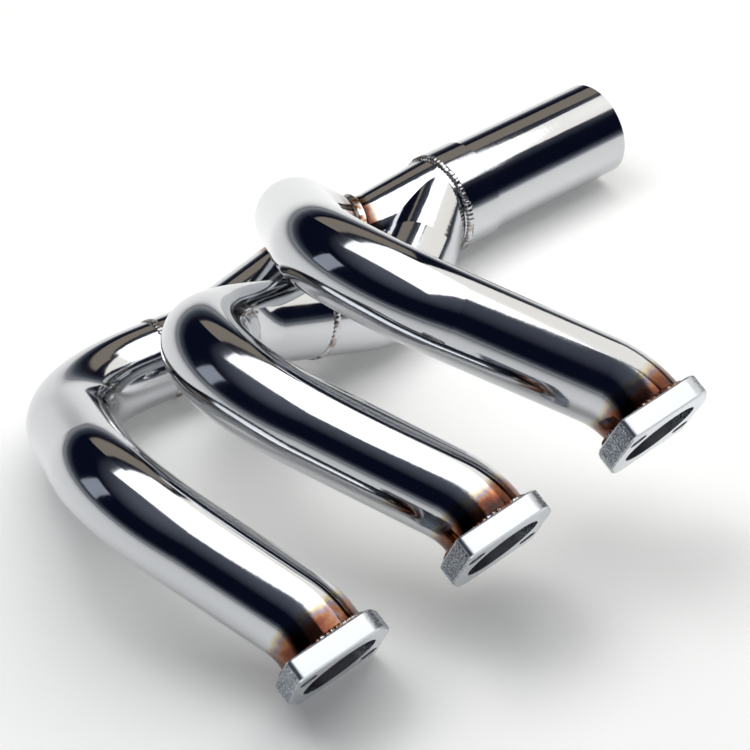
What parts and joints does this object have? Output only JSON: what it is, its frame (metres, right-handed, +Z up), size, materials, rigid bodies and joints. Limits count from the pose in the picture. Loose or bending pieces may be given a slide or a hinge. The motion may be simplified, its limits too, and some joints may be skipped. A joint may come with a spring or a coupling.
{
  "type": "exhaust manifold",
  "caption": "Tubular exhaust manifold: primaries with bolted flanges turn back under themselves into a merge collector, sleeve and plain outlet tube.",
  "frame": {"origin": "middle of the manifold's box, on the bench it lies on", "axes": "+X along the outlet tube and out of its open end, +Z up from the bench, +Y away from the flanges' side"},
  "size_m": [0.432, 0.3072, 0.1563],
  "materials": {
    "polished_stainless": "mirror polished",
    "flange_steel": "satin, milled edges",
    "tig_weld": "TIG weld bead, heat tinted"
  },
  "bodies": {
    "root": {"collector_half_1": "polished_stainless", "collector_half_2": "polished_stainless", "flange_1": "flange_steel", "flange_2": "flange_steel", "flange_3": "flange_steel", "flange_weld_1": "tig_weld", "flange_weld_2": "tig_weld", "flange_weld_3": "tig_weld", "joint_weld_1": "tig_weld", "joint_weld_2": "tig_weld", "outlet_tube": "polished_stainless", "primary_tube_1": "polished_stainless", "primary_tube_2": "polished_stainless", "primary_tube_3": "polished_stainless", "ring_weld": "tig_weld", "run_tube_1": "polished_stainless", "run_tube_2": "polished_stainless", "saddle_weld_3": "tig_weld", "sleeve": "polished_stainless"}
  },
  "joints": []
}
